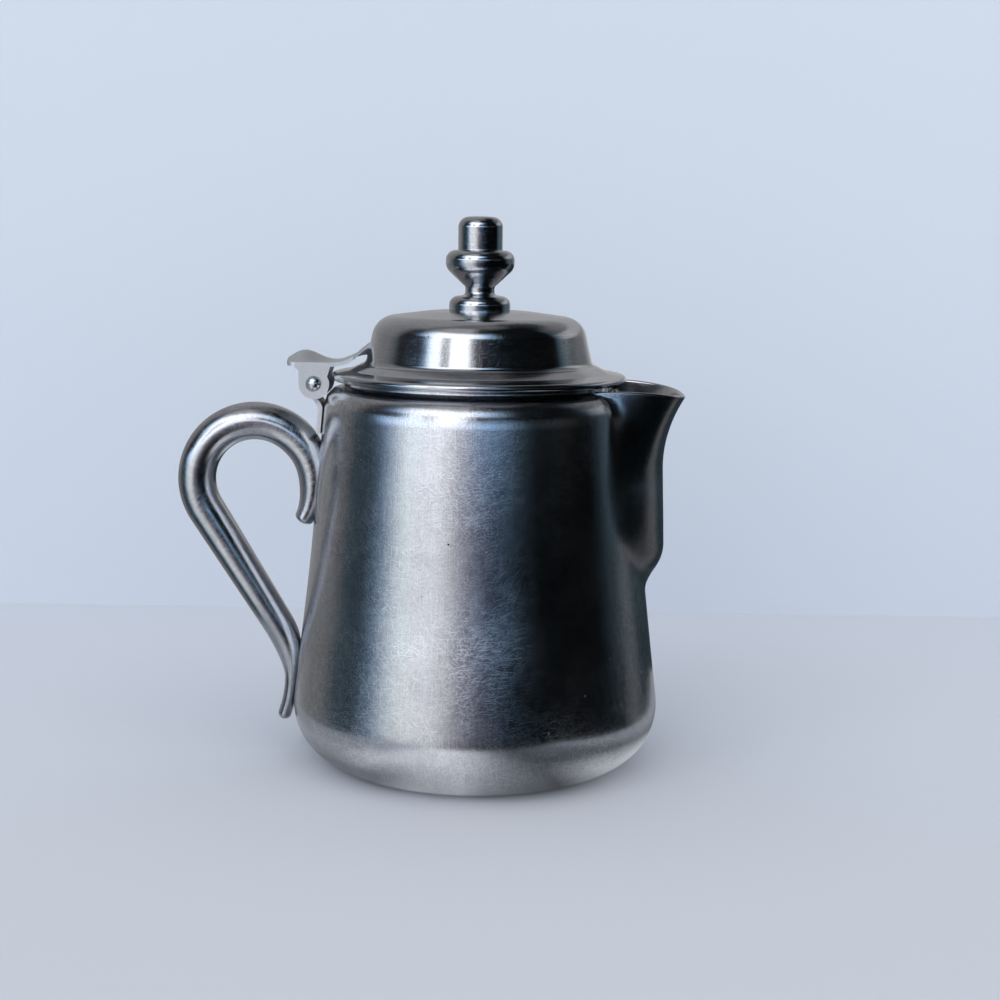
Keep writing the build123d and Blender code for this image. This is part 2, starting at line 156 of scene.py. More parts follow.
high_band = (
    (-180, 0.42, "plain"), (-110, 0.26, "plain"), (-101, 0.2, "plain"), (-94, 0.02, "plain"),
    (-76, 0.02, "plain"), (-64, 0.06, "sky"), (-58, 0.45, "sky"), (-53, 1.9, "pale_sky"),
    (-49, 2.4, "pale_sky"), (-42, 2.3, "plain"), (-39, 0.75, "plain"), (-32, 0.75, "plain"),
    (-29, 2.5, "plain"), (-12, 2.5, "plain"), (-6, 0.25, "plain"), (3, 0.02, "mauve"),
    (16, 0.006, "teal"), (90, 0.004, "plain"), (97, 0.2, "teal"), (108, 0.5, "plain"),
    (124, 0.6, "plain"), (142, 0.5, "plain"), (180, 0.42, "plain"),
)
shoulder_band = (
    (-180, 0.42, "plain"), (-110, 0.26, "plain"), (-100, 0.15, "plain"), (-92, 0.04, "plain"),
    (-80, 0.06, "sky"), (-70, 0.6, "sky"), (-60, 1.7, "pale_sky"), (-50, 2.3, "plain"),
    (-12, 2.3, "plain"), (0, 1.7, "pale_sky"), (12, 0.9, "sky"), (20, 0.25, "teal"),
    (30, 0.012, "teal"), (90, 0.004, "plain"), (97, 0.1, "teal"), (120, 0.2, "plain"),
    (150, 0.3, "plain"), (180, 0.42, "plain"),
)
upper_band = (
    (-180, 0.4, "plain"), (-104, 0.34, "plain"), (-86, 0.14, "plain"), (-60, 0.5, "plain"),
    (-14, 0.55, "plain"), (0, 0.04, "plain"), (20, 0.008, "teal"), (100, 0.008, "plain"),
    (150, 0.06, "plain"), (180, 0.4, "plain"),
)
light_bands = (floor_band, low_band, middle_band, high_band, shoulder_band, upper_band)
ceiling_light = (0.2, 0.205, 0.21, 1)

# Degrees above level between which each band changes to the next, and the last to the ceiling
band_changes = ((-7, -2), (3.4, 7), (10, 15), (27, 32), (44, 56), (70, 82))


def linear(hex_colour):
    """Linear red, green, blue and alpha of an sRGB colour written in hex."""
    shares = [int(hex_colour[start : start + 2], 16) / 255 for start in (0, 2, 4)]
    return tuple(s / 12.92 if s <= 0.04045 else ((s + 0.055) / 1.055) ** 2.4 for s in shares) + (1,)


def add(tree, kind, sockets, stops=(), **options):
    """Add a node: its options, its sockets' values or links, and a colour ramp's stops."""
    node = tree.nodes.new(kind if "Node" in kind else "ShaderNode" + kind)
    for option, value in options.items():
        setattr(node, option, value)
    for key, value in sockets.items():
        if isinstance(value, bpy.types.NodeSocket):
            tree.links.new(value, node.inputs[key])
        else:
            node.inputs[key].default_value = value
    if stops:
        ramp = node.color_ramp
        while len(ramp.elements) < len(stops):
            ramp.elements.new(0.5)
        for element, (place, colour) in zip(ramp.elements, stops):
            element.position = place
            element.color = colour
    return node


def new_material(name):
    """New material and its node tree, which is still empty."""
    material = bpy.data.materials.new(name)
    material.use_nodes = True
    tree = material.node_tree
    tree.nodes.clear()
    return material, tree


def rounded(corners, roundings, step=0.25, fewest=4):
    """Points along an outline of straight runs whose inner corners are rounded by arcs.
    The points of an arc are at most a step apart, and each arc has the fewest steps or more."""
    points = [Vector(corners[0])]
    for index, radius in enumerate(roundings):
        before, corner, after = (Vector(place) for place in corners[index : index + 3])
        back = (before - corner).normalized()
        ahead = (after - corner).normalized()
        half = back.angle(ahead) / 2
        reach = radius / math.tan(half)
        middle = corner + (back + ahead).normalized() * (radius / math.sin(half))
        start = corner + back * reach
        end = corner + ahead * reach
        from_middle = start - middle
        turn = from_middle.angle_signed(end - middle)
        count = max(fewest, math.ceil(abs(turn) * radius / step))
        for part in range(count + 1):
            angle = -turn * part / count
            points.append(middle + Matrix.Rotation(angle, 2) @ from_middle)
    points.append(Vector(corners[-1]))
    return np.array([tuple(point) for point in points])


def lengths_along(points):
    """Distance along a line of points at each of them."""
    steps = np.linalg.norm(np.diff(points, axis=0), axis=1)
    return np.concatenate([[0.0], np.cumsum(steps)])


def respaced(points, shares):
    """Points at given shares of the length of a line of points."""
    along = lengths_along(points)
    sides = [np.interp(shares * along[-1], along, side) for side in points.T]
    return np.stack(sides, axis=1)


def make_camera():
    """The photograph's view: a little above the lid's crown, tipped down to the pot."""
    tip_down = 8.7
    lean = 0.8
    data = bpy.data.cameras.new("camera")
    data.lens = 61.2
    data.sensor_width = 36.0
    data.clip_start = 0.01
    camera = bpy.data.objects.new("camera", data)
    camera.location = (0.005, -0.373, 0.1154)
    tilt = Matrix.Rotation(math.radians(90 - tip_down), 4, "X")
    roll = Matrix.Rotation(math.radians(lean), 4, "Z")
    camera.rotation_euler = (tilt @ roll).to_euler()
    bpy.context.scene.collection.objects.link(camera)
    bpy.context.scene.camera = camera


def flat_panel(name, corners, material):
    """Four-sided flat panel of the stage."""
    mesh = bpy.data.meshes.new(name)
    mesh.from_pydata(corners, [], [(0, 1, 2, 3)])
    mesh.materials.append(material)
    panel = bpy.data.objects.new(name, mesh)
    bpy.context.scene.collection.objects.link(panel)
    return panel


def level_square(half, height):
    """Corners of a level square round the pot's axis."""
    return [(across * half, deep * half, height) for across, deep in ((-1, -1), (1, -1), (1, 1), (-1, 1))]


def pale_board(name, colour):
    """Painted board: a matt, even, pale surface, and clear from behind."""
    material, tree = new_material(name)
    paint = add(tree, "BsdfDiffuse", {"Color": linear(colour)}).outputs[0]
    side = add(tree, "NewGeometry", {}).outputs["Backfacing"]
    clear = add(tree, "BsdfTransparent", {}).outputs[0]
    paint = add(tree, "MixShader", {0: side, 1: paint, 2: clear}).outputs[0]
    add(tree, "OutputMaterial", {"Surface": paint})
    return material


def painted_light_table_top():
    """Satin board with painted light, faintly glowing: greys that change from left to right, pale
    where they paint the window's light on the table, darker where they paint shade. The greys
    straight under the pot differ from those around it."""
    half_width = 0.06
    under_pot, around_pot = 0.038, 0.05
    # Painted light: pale greys where window light falls on the table, darker greys where it is in shade
    under_tones = (
        (0.2, "8C9094"), (0.32, "94989C"), (0.4, "D8DADC"), (0.475, "DCDEE0"), (0.525, "ABAEB2"),
        (0.6, "8A8D91"), (0.66, "707377"), (0.76, "E4E5E7"), (0.85, "FAFBFC"),
    )
    around_tones = (
        (0.0, "A0A3A7"), (0.15, "B4B7BB"), (0.27, "FCFCFD"), (0.42, "FCFCFD"), (0.5, "DADCDE"),
        (0.58, "909397"), (0.68, "54575B"), (0.78, "6A6D71"), (0.9, "6E7175"), (1.0, "A0A3A7"),
    )
    material, tree = new_material("painted_light_table_top")
    place = add(tree, "TexCoord", {}).outputs["Object"]
    across = add(tree, "SeparateXYZ", {0: place}).outputs[0]
    across = add(tree, "MapRange", {0: across, 1: -half_width, 2: half_width}).outputs[0]
    away = add(tree, "VectorMath", {0: place}, operation="LENGTH").outputs["Value"]
    away = add(tree, "MapRange", {0: away, 1: under_pot, 2: around_pot}).outputs[0]
    painted_lights = []
    for tones in (under_tones, around_tones):
        stops = [(share, linear(tone)) for share, tone in tones]
        painted_lights.append(add(tree, "ValToRGB", {0: across}, stops=stops).outputs[0])
    paint = add(tree, "Mix", {0: away, 6: painted_lights[0], 7: painted_lights[1]}, data_type="RGBA").outputs[2]
    # The board glows with its painted light, though it is no lamp
    painted_light_glow = {"Base Color": paint, "Roughness": 0.4, "Emission Color": paint, "Emission Strength": 0.3}
    painted_light_glow = add(tree, "BsdfPrincipled", painted_light_glow)
    add(tree, "OutputMaterial", {"Surface": painted_light_glow.outputs[0]})
    return material


def make_stage():
    """Pale floor and wall that the steel doesn't mirror, and a table top painted with light that only the
    steel mirrors.
    Floor and table top lie just under the pot's base, so that they don't touch it."""
    floor_height = -0.00003
    far = 0.6
    near = 0.085
    wall_place = 0.152
    wall_height = 0.6
    floor_paint = pale_board("pale_floor_paint", "D7DBE3")
    wall_paint = pale_board("pale_wall_paint", "D1D9E4")
    floor = flat_panel("floor", level_square(far, floor_height), floor_paint)
    low = [(-far, wall_place, floor_height), (far, wall_place, floor_height)]
    high = [(far, wall_place, wall_height), (-far, wall_place, wall_height)]
    wall = flat_panel("wall", low + high, wall_paint)
    for panel in (floor, wall):
        panel.visible_glossy = False
    table_top = flat_panel("table_top", level_square(near, floor_height), painted_light_table_top())
    table_top.visible_camera = False
    table_top.visible_diffuse = False
    table_top.visible_shadow = False


def make_studio():
    """Soft studio round the pot: a two-part window light to the left of the camera,
    a soft ceiling, grey walls, and a dark side to the right of the camera."""
    world = bpy.data.worlds.new("studio")
    bpy.context.scene.world = world
    world.use_nodes = True
    tree = world.node_tree
    tree.nodes.clear()
    way = add(tree, "SeparateXYZ", {0: add(tree, "TexCoord", {}).outputs["Generated"]})
    towards = add(tree, "Math", {0: way.outputs[1], 1: -1.0}, operation="MULTIPLY").outputs[0]
    turn = add(tree, "Math", {0: way.outputs[0], 1: towards}, operation="ARCTAN2")
    share = add(tree, "MapRange", {0: turn.outputs[0], 1: -math.pi, 2: math.pi})
    rise = add(tree, "Math", {0: way.outputs[2]}, operation="ARCSINE")
    layers = []
    for band in light_bands:
        stops = []
        for degrees, strength, tint in band:
            colour = tuple(strength * part for part in light_tints[tint]) + (1,)
            stops.append(((degrees + 180) / 360, colour))
        layers.append(add(tree, "ValToRGB", {0: share.outputs[0]}, stops=stops).outputs[0])
    light = layers[0]
    for (start, end), colour in zip(band_changes, (*layers[1:], ceiling_light)):
        climb = {0: rise.outputs[0], 1: math.radians(start), 2: math.radians(end)}
        factor = add(tree, "MapRange", climb, interpolation_type="SMOOTHSTEP").outputs[0]
        light = add(tree, "Mix", {0: factor, 6: light, 7: colour}, data_type="RGBA").outputs[2]

    # Floor and wall are lit by one even sky instead, brighter from the camera's side
    even_level = 0.62
    front_extra = 0.75
    path = add(tree, "LightPath", {})
    even = add(tree, "Math", {0: towards, 1: 0.0}, operation="MAXIMUM").outputs[0]
    even = {0: even, 1: front_extra, 2: even_level}
    even = add(tree, "Math", even, operation="MULTIPLY_ADD").outputs[0]
    even = add(tree, "CombineColor", {0: even, 1: even, 2: even}).outputs[0]
    backdrop = linear("D2DCEB")
    for name, colour in (("Is Diffuse Ray", even), ("Is Camera Ray", backdrop)):
        light = {0: path.outputs[name], 6: light, 7: colour}
        light = add(tree, "Mix", light, data_type="RGBA").outputs[2]
    glow = add(tree, "Background", {0: light, 1: 1.0})
    add(tree, "OutputWorld", {0: glow.outputs[0]})


def steel(name, tones, roughness, brushing, scratches, depths, surface_map=True):
    """Stainless steel as it comes back from years of use: a brushed ground, a crossing haze of
    fine scratches, a few long ones, tiny dark pits, and clouds where it is duller or brighter.
    The tones are of dull ground, bright ground and scratches, which are painted paler than the
    ground as a painted glint, and the roughness is that of the brightest and the dullest clouds.
    The brushing is the size of its lines round and up the piece.
    Each pattern of scratches has a length, a width and the level above which its noise is a scratch.
    The depths are of lines, grain and scratches. Lines, scratches and grain are drawn several times
    as wide as real ones, which are too fine to show."""
    cloud_size = 11 * mm
    bow_size = 12 * mm
    bow_reach = 0.9 * mm
    wear_size = 20 * mm
    grain_size = 0.4 * mm
    pit_spacing = 2.6 * mm
    pattern_shift = (13.7 * mm, 7.1 * mm)
    pattern_turn = math.radians(137.5)
    material, tree = new_material(name)
    place = add(tree, "TexCoord", {}).outputs["Object"]
    wrap = add(tree, "UVMap", {}, uv_map="wrap").outputs[0] if surface_map else place
    clouds = {"Vector": place, "Scale": 1 / cloud_size, "Detail": 5.0, "Roughness": 0.65}
    clouds = add(tree, "TexNoise", clouds).outputs[0]

    # Grinding lines, all one way, long and very narrow
    line_size = (brushing[0] * mm, brushing[1] * mm, 1.0)
    lines = add(tree, "Mapping", {"Vector": wrap, "Scale": line_size}, vector_type="TEXTURE").outputs[0]
    lines = {"Vector": lines, "Scale": 1.0, "Detail": 3.0, "Roughness": 0.7}
    lines = add(tree, "TexNoise", lines).outputs[0]

    # Crossing fine scratches: one stretched pattern for each direction, slightly bowed
    bend = add(tree, "TexNoise", {"Vector": place, "Scale": 1 / bow_size, "Detail": 0.0})
    bend = {0: bend.outputs["Color"], 1: (bow_reach,) * 3}
    bend = add(tree, "VectorMath", bend, operation="MULTIPLY").outputs[0]
    bowed = add(tree, "VectorMath", {0: wrap, 1: bend}, operation="ADD").outputs[0]
    soft_edge = 0.06
    marks = None
    for index, (length, width, level) in enumerate(scratches):
        stroke = add(tree, "Mapping", {
            "Vector": bowed,
            "Location": (pattern_shift[0] * index, pattern_shift[1] * index, 0.0),
            "Rotation": (0.0, 0.0, pattern_turn * index),
            "Scale": (length * mm, width * mm, length * mm),
        }, vector_type="TEXTURE")
        stroke = add(tree, "TexNoise", {"Vector": stroke.outputs[0], "Scale": 1.0, "Detail": 0.0})
        stroke = add(tree, "MapRange", {0: stroke.outputs[0], 1: level, 2: level + soft_edge}).outputs[0]
        if marks is None:
            marks = stroke
        else:
            marks = add(tree, "Math", {0: marks, 1: stroke}, operation="MAXIMUM").outputs[0]

    # Patches that were used less have fainter scratches
    faintest = 0.3
    worn = add(tree, "TexNoise", {"Vector": place, "Scale": 1 / wear_size, "Detail": 3.0}).outputs[0]
    worn = add(tree, "MapRange", {0: worn, 1: 0.35, 2: 0.62, 3: faintest, 4: 1.0}).outputs[0]
    marks = add(tree, "Math", {0: marks, 1: worn}, operation="MULTIPLY").outputs[0]

    # Grain left by polishing
    grains = {"Vector": place, "Scale": 1 / grain_size, "Detail": 2.0, "Roughness": 0.6}
    grains = add(tree, "TexNoise", grains).outputs[0]

    # Pits that have gone dark, in the cells whose chance is high; sizes are shares of the spacing
    least_chance = 0.72
    largest_pit = 0.11
    pit_edge = 0.04
    pits = add(tree, "TexVoronoi", {"Vector": place, "Scale": 1 / pit_spacing})
    chance = add(tree, "SeparateColor", {0: pits.outputs["Color"]}).outputs[0]
    size = add(tree, "MapRange", {0: chance, 1: least_chance, 2: 1.0, 3: 0.0, 4: largest_pit}).outputs[0]
    hole = add(tree, "Math", {0: size, 1: pits.outputs["Distance"]}, operation="SUBTRACT").outputs[0]
    hole = add(tree, "MapRange", {0: hole, 1: 0.0, 2: pit_edge}).outputs[0]

    # Roughness: that of the clouds, and what lines, scratches and pits add to it
    dull = {0: clouds, 1: 0.32, 2: 0.68, 3: roughness[0], 4: roughness[1]}
    dull = add(tree, "MapRange", dull).outputs[0]
    for amount, part in ((0.05, lines), (0.05, marks), (0.25, hole)):
        dull = add(tree, "Math", {0: part, 1: amount, 2: dull}, operation="MULTIPLY_ADD").outputs[0]

    # Colour: ground tones by clouds, lines and grain together, then scratches painted a little paler as a
    # painted glint, and dark pits
    grain_share = 0.8
    scratch_glint_share = 0.6
    ground = add(tree, "Math", {0: clouds, 1: lines}, operation="ADD").outputs[0]
    ground = {0: grains, 1: grain_share, 2: ground}
    ground = add(tree, "Math", ground, operation="MULTIPLY_ADD").outputs[0]
    ground = add(tree, "MapRange", {0: ground, 1: 1.1, 2: 1.7}).outputs[0]
    tint = {0: ground, 6: linear(tones[0]), 7: linear(tones[1])}
    tint = add(tree, "Mix", tint, data_type="RGBA").outputs[2]
    # Scratches are painted paler than the ground: a painted glint, besides their real relief and roughness
    faint = add(tree, "Math", {0: marks, 1: scratch_glint_share}, operation="MULTIPLY").outputs[0]
    for factor, colour in ((faint, tones[2]), (hole, "3C3E42")):
        tint = add(tree, "Mix", {0: factor, 6: tint, 7: linear(colour)}, data_type="RGBA").outputs[2]

    # Relief: pits, lines, grain and scratches, where a depth of one is this far
    relief = 0.02 * mm
    pit_depth = -1.5
    height = add(tree, "Math", {0: hole, 1: pit_depth}, operation="MULTIPLY").outputs[0]
    for amount, part in zip(depths, (lines, grains, marks)):
        height = add(tree, "Math", {0: part, 1: amount, 2: height}, operation="MULTIPLY_ADD").outputs[0]
    bump = add(tree, "Bump", {"Strength": 1.0, "Distance": relief, "Height": height})
    shader = add(tree, "BsdfPrincipled", {
        "Base Color": tint,
        "Metallic": 1.0,
        "Roughness": dull,
        "Normal": bump.outputs[0],
    })
    add(tree, "OutputMaterial", {"Surface": shader.outputs[0]})
    return material


def wall_radius_at(height):
    """Distance of the body's outline from the axis at a height, also on shoulder and neck."""
    return np.interp(height, outline_heights, outline_radii)


def ridge_reach_at(height):
    """Distance of the spout's nose from the axis at a height."""
    return np.interp(height, ridge_line[:, 1], ridge_line[:, 0])


def spout_radius(turn, height):
    """Distance from the axis to the spout's outside in a direction, found by halving the range
    it can be in. It is nothing below the spout's foot and outside its two sides."""
    farthest = 60.0
    halvings = 34
    foot_share = 0.999
    least_cosine = 0.05
    front_cosine = 0.3
    above = height > spout_foot_height
    drop = (spout_widest_height - height) / (spout_widest_height - spout_narrowest_height)
    drop = np.clip(drop, 0, foot_share)
    share = np.clip((height - spout_widest_height) / (spout_top_height - spout_widest_height), 0, 1)
    half_width = np.where(
        height < spout_widest_height,
        spout_half_width * np.sqrt(1 - drop**2),
        spout_half_width - spout_lip_narrowing * share,
    )
    power = 2 + spout_bluntness * share
    length = ridge_reach_at(height) - spout_inner_edge
    sine = np.abs(np.sin(turn))
    cosine = np.cos(turn)
    near = spout_inner_edge / np.maximum(cosine, least_cosine)
    faces = above & (cosine > front_cosine) & (near * sine < half_width)
    far = np.full_like(near, farthest)
    for _ in range(halvings):
        middle = (near + far) / 2
        along = np.maximum(middle * cosine - spout_inner_edge, 0) / length
        inside = along**power + (middle * sine / half_width) ** power < 1
        near = np.where(inside, middle, near)
        far = np.where(inside, far, middle)
    return np.where(faces, near, 0.0)


def blended(first, second, width):
    """The larger of two values, with a soft change from one to the other."""
    share = np.clip(0.5 + 0.5 * (first - second) / width, 0, 1)
    return second + (first - second) * share + width * share * (1 - share)


def pot_radius(turn, height):
    """Distance from the axis to the outside of the pot, body and spout together."""
    softness = np.interp(height, seam_heights, seam_widths)
    return blended(wall_radius_at(height), spout_radius(turn, height), softness) - skin_clearance


def lip_height_at(reach):
    """Height of the spout's lip at a distance from the axis, on a line from root to tip that bows up."""
    share = np.clip((reach - lip_root[0]) / (lip_tip[0] - lip_root[0]), 0, 1)
    straight = lip_root[1] + (lip_tip[1] - lip_root[1]) * share
    return straight + 4 * lip_bow * share * (1 - share)


def mesh_piece(name, points, faces, material, wraps):
    """Mesh object from points in millimetres, smooth-shaded, with its surface map in metres."""
    mesh = bpy.data.meshes.new(name)
    mesh.from_pydata([tuple(point) for point in np.asarray(points) * mm], [], faces)
    layer = mesh.uv_layers.new(name="wrap")
    layer.data.foreach_set("uv", (np.concatenate(wraps) * mm).astype(np.float32).ravel())
    mesh.materials.append(material)
    mesh.shade_smooth()
    piece = bpy.data.objects.new(name, mesh)
    bpy.context.scene.collection.objects.link(piece)
    return piece


def pot_turns():
    """Direction of each column of the pot's skin, closer together over the spout."""
    spout_side = math.radians(48)
    spout_columns = 150
    other_columns = 168
    over_spout = np.linspace(-spout_side, spout_side, spout_columns)
    elsewhere = np.linspace(spout_side, 2 * math.pi - spout_side, other_columns + 2)[1:-1]
    return np.concatenate([over_spout, elsewhere])


def level_rows(turns):
    """Level rows of the skin, from near the base's middle to the top of the wall, each with
    a distance from the axis and a height for every column."""
    line = body_line[: np.argmax(body_line[:, 1] > wall_top_height)]
    line = respaced(line, np.linspace(0, 1, wall_rows + 1)[1:])
    rows = []
    for radius, height in line:
        level = np.full(len(turns), height)
        if height > bottom_corner_top:
            reach = pot_radius(turns, level)
        else:
            reach = np.full(len(turns), radius - skin_clearance)
        rows.append(np.stack([reach, level], axis=1))
    return np.array(rows)


def rim_heights(turns):
    """Height of the skin's top and of the crease under its collar, at each column.
    Over the spout the top is the lip's, elsewhere it is the mouth's, with a soft step between.
    The lip's height depends on how far out it is, and the other way round, so both are found
    together, by turns."""
    lip_rounds = 12
    step_start = neck_radius + 0.9
    step_width = 1.2
    shoulder_foot_height = 80.0
    lowest_crease = 82.9
    least_collar = 0.6
    lip = np.full(len(turns), lip_root[1])
    for _ in range(lip_rounds):
        lip = lip_height_at(pot_radius(turns, lip) * np.cos(turns)) - body_sheet / 2
    reach = spout_radius(turns, np.full(len(turns), lip_root[1]))
    step = np.clip((step_start - reach) / step_width, 0, 1)
    step = step * step * (3 - 2 * step)
    top = lip + (mouth_height - body_sheet / 2 - lip) * step
    shoulder = outline_heights > shoulder_foot_height
    crease = np.interp(-reach, -outline_radii[shoulder], outline_heights[shoulder])
    crease = np.clip(crease, lowest_crease, neck_foot_height)
    return top, np.minimum(crease, top - least_collar)


def rim_rows(turns, start):
    """Rows of the skin from a height up over shoulder and collar, evenly spaced in each column."""
    samples = 900
    top, crease = rim_heights(turns)
    rows = np.zeros((shoulder_rows + collar_rows, len(turns), 2))
    for column, turn in enumerate(turns):
        heights = np.linspace(start, top[column], samples)
        line = np.stack([pot_radius(np.full(samples, turn), heights), heights], axis=1)
        split = int(np.searchsorted(heights, crease[column]))
        shoulder = respaced(line[: split + 1], np.linspace(0, 1, shoulder_rows + 1)[1:])
        collar = respaced(line[split:], np.linspace(0, 1, collar_rows + 1)[1:])
        rows[:, column] = np.concatenate([shoulder, collar])
    return rows


def sheet_skin(outer):
    """Outside, rounded top edge and inside of a sheet, from the rows of its outside.
    Below the rim the inside has every second row."""
    around = np.roll(outer, -1, axis=1) - np.roll(outer, 1, axis=1)
    upward = np.gradient(outer, axis=0)
    normals = np.cross(around, upward)
    normals /= np.linalg.norm(normals, axis=2, keepdims=True)
    climb = upward[-1] / np.linalg.norm(upward[-1], axis=1, keepdims=True)
    edge_middle = outer[-1] - normals[-1] * body_sheet / 2
    edge_steps = 7
    edge = []
    for step in range(1, edge_steps):
        angle = math.pi * step / edge_steps
        arc = math.cos(angle) * normals[-1] + math.sin(angle) * climb
        edge.append(edge_middle + arc * body_sheet / 2)
    inner = (outer - normals * body_sheet)[::-1]
    close_rows = shoulder_rows + collar_rows + 1
    inner = np.concatenate([inner[:close_rows], inner[close_rows::2]])
    return np.concatenate([outer, np.array(edge), inner])


def make_pot(material):
    """Drawn body and its spout as one skin of even sheet, with a rounded edge at mouth and lip."""
    turns = pot_turns()
    columns = len(turns)
    rows = level_rows(turns)
    rows = np.concatenate([rows, rim_rows(turns, rows[-1, 0, 1])])
    reach, height = rows[..., 0], rows[..., 1]
    skin = sheet_skin(np.stack([reach * np.cos(turns), reach * np.sin(turns), height], axis=2))
    count = len(skin)
    points = skin.reshape(-1, 3).tolist()
    points.append((0, 0, 0))
    points.append((0, 0, body_sheet))

    # The surface map runs round at this distance from the axis, and up along one column
    wrap_radius = 37.0
    along = lengths_along(skin[:, columns // 2])
    faces = []
    wraps = []
    for row in range(count - 1):
        for column in range(columns):
            after = (column + 1) % columns
            faces.append((row * columns + column, row * columns + after,
                          (row + 1) * columns + after, (row + 1) * columns + column))
            left = turns[column] * wrap_radius
            right = (turns[after] if after else turns[0] + 2 * math.pi) * wrap_radius
            low, high = along[row], along[row + 1]
            wraps.append(np.array([(left, low), (right, low), (right, high), (left, high)]))

    # The base is closed round its middle, outside and inside
    for column in range(columns):
        after = (column + 1) % columns
        faces.append((after, column, count * columns))
        wraps.append(np.zeros((3, 2)))
        faces.append((count * columns + 1, (count - 1) * columns + column, (count - 1) * columns + after))
        wraps.append(np.zeros((3, 2)))
    piece = mesh_piece("pot_shell", points, faces, material, wraps)
    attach(piece, "pot")
    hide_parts("body", "spout")


def ringed_sections_tree():
    """Geometry nodes that skin a row of oval sections, with one ring of points for each section."""
    tree = bpy.data.node_groups.new("ringed_sections", "GeometryNodeTree")
    for name, kind in (
        ("Geometry", "Geometry"), ("Steps Round", "Int"), ("Wrap Width", "Float"), ("Material", "Material")
    ):
        tree.interface.new_socket(name, in_out="INPUT", socket_type="NodeSocket" + kind)
    tree.interface.new_socket("Geometry", in_out="OUTPUT", socket_type="NodeSocketGeometry")
    given = tree.nodes.new("NodeGroupInput").outputs
    line = given["Geometry"]

    # A flat grid with a row of points for each section, and one column more than steps round
    rows = add(tree, "GeometryNodeAttributeDomainSize", {"Geometry": line}).outputs["Point Count"]
    columns = add(tree, "Math", {0: given["Steps Round"], 1: 1.0}, operation="ADD").outputs[0]
    sheet = add(tree, "GeometryNodeMeshGrid", {"Vertices X": columns, "Vertices Y": rows})
    index = add(tree, "GeometryNodeInputIndex", {}).outputs[0]
    row = add(tree, "Math", {0: index, 1: rows}, operation="MODULO").outputs[0]
    column = add(tree, "Math", {0: index, 1: rows}, operation="DIVIDE").outputs[0]
    column = add(tree, "Math", {0: column}, operation="FLOOR").outputs[0]

    # Each point goes to its place on its section's oval
    turn = add(tree, "Math", {0: column, 1: given["Steps Round"]}, operation="DIVIDE").outputs[0]
    turn = add(tree, "Math", {0: turn, 1: 2 * math.pi}, operation="MULTIPLY").outputs[0]
    place = add(tree, "GeometryNodeInputPosition", {}).outputs[0]
    place = {"Geometry": line, "Value": place, "Index": row}
    place = add(tree, "GeometryNodeSampleIndex", place, data_type="FLOAT_VECTOR").outputs[0]
    for name, wave in (("first_axis", "COSINE"), ("second_axis", "SINE")):
        axis = add(tree, "GeometryNodeInputNamedAttribute", {"Name": name}, data_type="FLOAT_VECTOR")
        axis = {"Geometry": line, "Value": axis.outputs[0], "Index": row}
        axis = add(tree, "GeometryNodeSampleIndex", axis, data_type="FLOAT_VECTOR").outputs[0]
        share = add(tree, "Math", {0: turn}, operation=wave).outputs[0]
        place = {0: axis, 1: share, 2: place}
        place = add(tree, "VectorMath", place, operation="MULTIPLY_ADD").outputs[0]
    skin = add(tree, "GeometryNodeSetPosition", {"Geometry": sheet.outputs["Mesh"], "Position": place})

    # The surface map: round by the wrap width, and up by the length along the sections
    spread = add(tree, "SeparateXYZ", {0: sheet.outputs["UV Map"]})
    across = add(tree, "Math", {0: spread.outputs[0], 1: given["Wrap Width"]}, operation="MULTIPLY")
    last = add(tree, "Math", {0: rows, 1: 1.0}, operation="SUBTRACT").outputs[0]
    nearest = add(tree, "Math", {0: spread.outputs[1], 1: last}, operation="MULTIPLY").outputs[0]
    nearest = add(tree, "Math", {0: nearest}, operation="ROUND").outputs[0]
    along = add(tree, "GeometryNodeInputNamedAttribute", {"Name": "along"}, data_type="FLOAT").outputs[0]
    along = {"Geometry": line, "Value": along, "Index": nearest}
    along = add(tree, "GeometryNodeSampleIndex", along, data_type="FLOAT").outputs[0]
    wrap = add(tree, "CombineXYZ", {0: across.outputs[0], 1: along}).outputs[0]
    skin = {"Geometry": skin.outputs[0], "Name": "wrap", "Value": wrap}
    skin = add(tree, "GeometryNodeStoreNamedAttribute", skin, data_type="FLOAT2", domain="CORNER")

    # The grid's side edges, and ends that meet or are only a point, are closed by merging
    merge_distance = 1e-6
    skin = {"Geometry": skin.outputs[0], "Distance": merge_distance}
    skin = add(tree, "GeometryNodeMergeByDistance", skin)
    skin = add(tree, "GeometryNodeSetShadeSmooth", {"Geometry": skin.outputs[0]})
    skin = add(tree, "GeometryNodeRealizeInstances", {"Geometry": skin.outputs[0]})
    skin = {"Geometry": skin.outputs[0], "Material": given["Material"]}
    skin = add(tree, "GeometryNodeSetMaterial", skin).outputs[0]
    add(tree, "NodeGroupOutput", {0: skin})
    return tree


